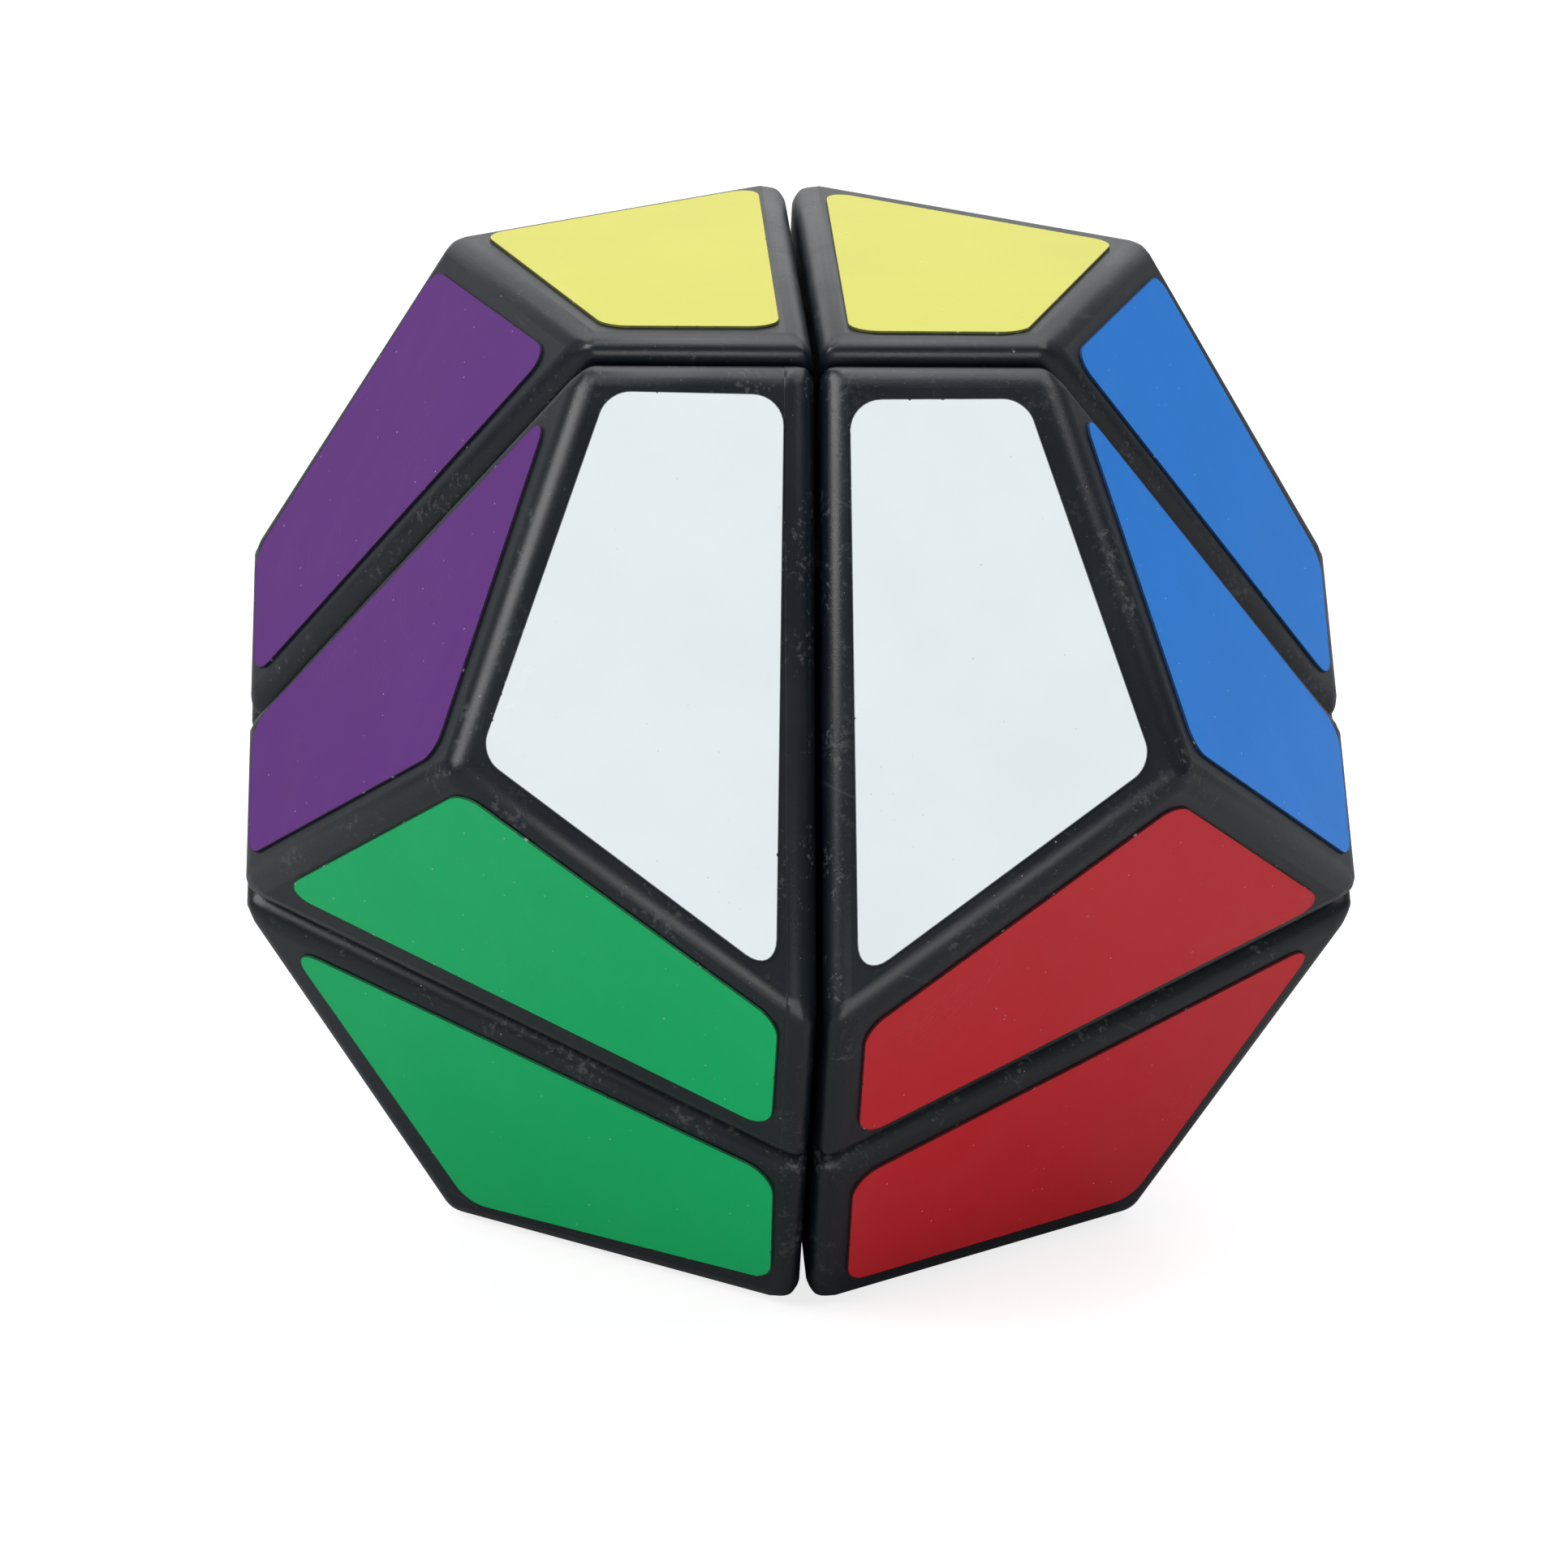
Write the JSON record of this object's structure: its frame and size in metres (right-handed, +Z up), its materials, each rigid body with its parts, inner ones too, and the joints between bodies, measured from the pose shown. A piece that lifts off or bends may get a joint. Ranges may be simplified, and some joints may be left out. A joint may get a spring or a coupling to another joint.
{
  "type": "dodecahedron twisty puzzle",
  "caption": "Face-standing dodecahedral twisty puzzle cut by perpendicular planes into corner pieces that turn in layers about a sprung core, with split pentagon colour stickers.",
  "frame": {"origin": "centre of the pentagon that the puzzle stands on, on the outside of its stickers", "axes": "+Z up, out of the yellow face; -Y towards the viewer; +X right, along the turning axis of the right layer. The upper and front turning axes are (0, -0.5257, 0.8507) and (0, -0.8507, -0.5257)"},
  "size_m": [0.076, 0.0804, 0.0672],
  "materials": {
    "black_plastic": "black moulded ABS with a fine satin grain, lightly polished by handling along its rounded edges",
    "core_plastic": "natural off-white moulded plastic, satin",
    "steel": "plain steel screws and springs",
    "sticker_white": "self-adhesive coloured vinyl film, satin to glossy, with fine scratches and dust",
    "sticker_yellow": "self-adhesive coloured vinyl film, satin to glossy, with fine scratches and dust",
    "sticker_cream": "self-adhesive coloured vinyl film, satin to glossy, with fine scratches and dust",
    "sticker_grey": "self-adhesive coloured vinyl film, satin to glossy, with fine scratches and dust",
    "sticker_green": "self-adhesive coloured vinyl film, satin to glossy, with fine scratches and dust",
    "sticker_red": "self-adhesive coloured vinyl film, satin to glossy, with fine scratches and dust",
    "sticker_light_green": "self-adhesive coloured vinyl film, satin to glossy, with fine scratches and dust",
    "sticker_orange": "self-adhesive coloured vinyl film, satin to glossy, with fine scratches and dust",
    "sticker_purple": "self-adhesive coloured vinyl film, satin to glossy, with fine scratches and dust",
    "sticker_blue": "self-adhesive coloured vinyl film, satin to glossy, with fine scratches and dust",
    "sticker_pink": "self-adhesive coloured vinyl film, satin to glossy, with fine scratches and dust",
    "sticker_light_blue": "self-adhesive coloured vinyl film, satin to glossy, with fine scratches and dust"
  },
  "bodies": {
    "fixed_body": {"core": "core_plastic", "screw_fixed_corner": "steel", "screw_right": "steel", "screw_upper": "steel", "screw_front": "steel", "spring_right": "steel", "spring_upper": "steel", "spring_front": "steel", "cap_lower_back_left": "black_plastic", "plug_lower_back_left": "black_plastic", "sticker_grey_left": "sticker_grey", "sticker_orange_lower": "sticker_orange", "sticker_light_blue_back": "sticker_light_blue"},
    "right_layer": {"centre_right": "black_plastic", "edge_right_lower": "black_plastic", "edge_right_back": "black_plastic", "cap_lower_back_right": "black_plastic", "stalk_lower_back_right": "black_plastic", "sticker_grey_right": "sticker_grey", "sticker_light_green_lower": "sticker_light_green", "sticker_pink_back": "sticker_pink"},
    "upper_layer": {"centre_upper": "black_plastic", "edge_left_upper": "black_plastic", "edge_upper_back": "black_plastic", "cap_upper_back_left": "black_plastic", "stalk_upper_back_left": "black_plastic", "sticker_yellow_left": "sticker_yellow", "sticker_orange_upper": "sticker_orange", "sticker_purple_back": "sticker_purple"},
    "front_layer": {"centre_front": "black_plastic", "edge_left_front": "black_plastic", "edge_lower_front": "black_plastic", "cap_lower_front_left": "black_plastic", "stalk_lower_front_left": "black_plastic", "sticker_cream_left": "sticker_cream", "sticker_green_lower": "sticker_green", "sticker_light_blue_front": "sticker_light_blue"},
    "right_upper_corner": {"edge_right_upper": "black_plastic", "cap_upper_back_right": "black_plastic", "stalk_upper_back_right": "black_plastic", "sticker_yellow_right": "sticker_yellow", "sticker_light_green_upper": "sticker_light_green", "sticker_blue_back": "sticker_blue"},
    "right_front_corner": {"edge_right_front": "black_plastic", "cap_lower_front_right": "black_plastic", "stalk_lower_front_right": "black_plastic", "sticker_cream_right": "sticker_cream", "sticker_red_lower": "sticker_red", "sticker_pink_front": "sticker_pink"},
    "upper_front_corner": {"edge_upper_front": "black_plastic", "cap_upper_front_left": "black_plastic", "stalk_upper_front_left": "black_plastic", "sticker_white_left": "sticker_white", "sticker_green_upper": "sticker_green", "sticker_purple_front": "sticker_purple"},
    "right_upper_front_corner": {"cap_upper_front_right": "black_plastic", "stalk_upper_front_right": "black_plastic", "sticker_white_right": "sticker_white", "sticker_red_upper": "sticker_red", "sticker_blue_front": "sticker_blue"}
  },
  "joints": [
    {"name": "turn_right", "type": "hinge", "parent": "fixed_body", "child": "right_layer", "pos_m": [0, 0, 0.03358], "axis": [1, 0, 0], "continuous": true},
    {"name": "turn_upper", "type": "hinge", "parent": "fixed_body", "child": "upper_layer", "pos_m": [0, 0, 0.03358], "axis": [0, -0.5257, 0.8507], "range_deg": [-360, 360]},
    {"name": "turn_front", "type": "hinge", "parent": "fixed_body", "child": "front_layer", "pos_m": [0, 0, 0.03358], "axis": [0, -0.8507, -0.5257], "range_deg": [-360, 360]},
    {"name": "right_upper_corner_in_upper_turn", "type": "hinge", "parent": "right_layer", "child": "right_upper_corner", "pos_m": [0, 0, 0.03358], "axis": [0, -0.5257, 0.8507], "range_deg": [-360, 360]},
    {"name": "right_front_corner_in_front_turn", "type": "hinge", "parent": "right_layer", "child": "right_front_corner", "pos_m": [0, 0, 0.03358], "axis": [0, -0.8507, -0.5257], "range_deg": [-360, 360]},
    {"name": "upper_front_corner_in_front_turn", "type": "hinge", "parent": "upper_layer", "child": "upper_front_corner", "pos_m": [0, 0, 0.03358], "axis": [0, -0.8507, -0.5257], "range_deg": [-360, 360]},
    {"name": "last_corner_in_front_turn", "type": "hinge", "parent": "right_upper_corner", "child": "right_upper_front_corner", "pos_m": [0, 0, 0.03358], "axis": [0, -0.8507, -0.5257], "range_deg": [-360, 360]}
  ],
  "couplings": [
    {"joint": "right_upper_corner_in_upper_turn", "follows": "turn_upper", "ratio": 1},
    {"joint": "right_front_corner_in_front_turn", "follows": "turn_front", "ratio": 1},
    {"joint": "upper_front_corner_in_front_turn", "follows": "turn_front", "ratio": 1},
    {"joint": "last_corner_in_front_turn", "follows": "turn_front", "ratio": 1}
  ]
}
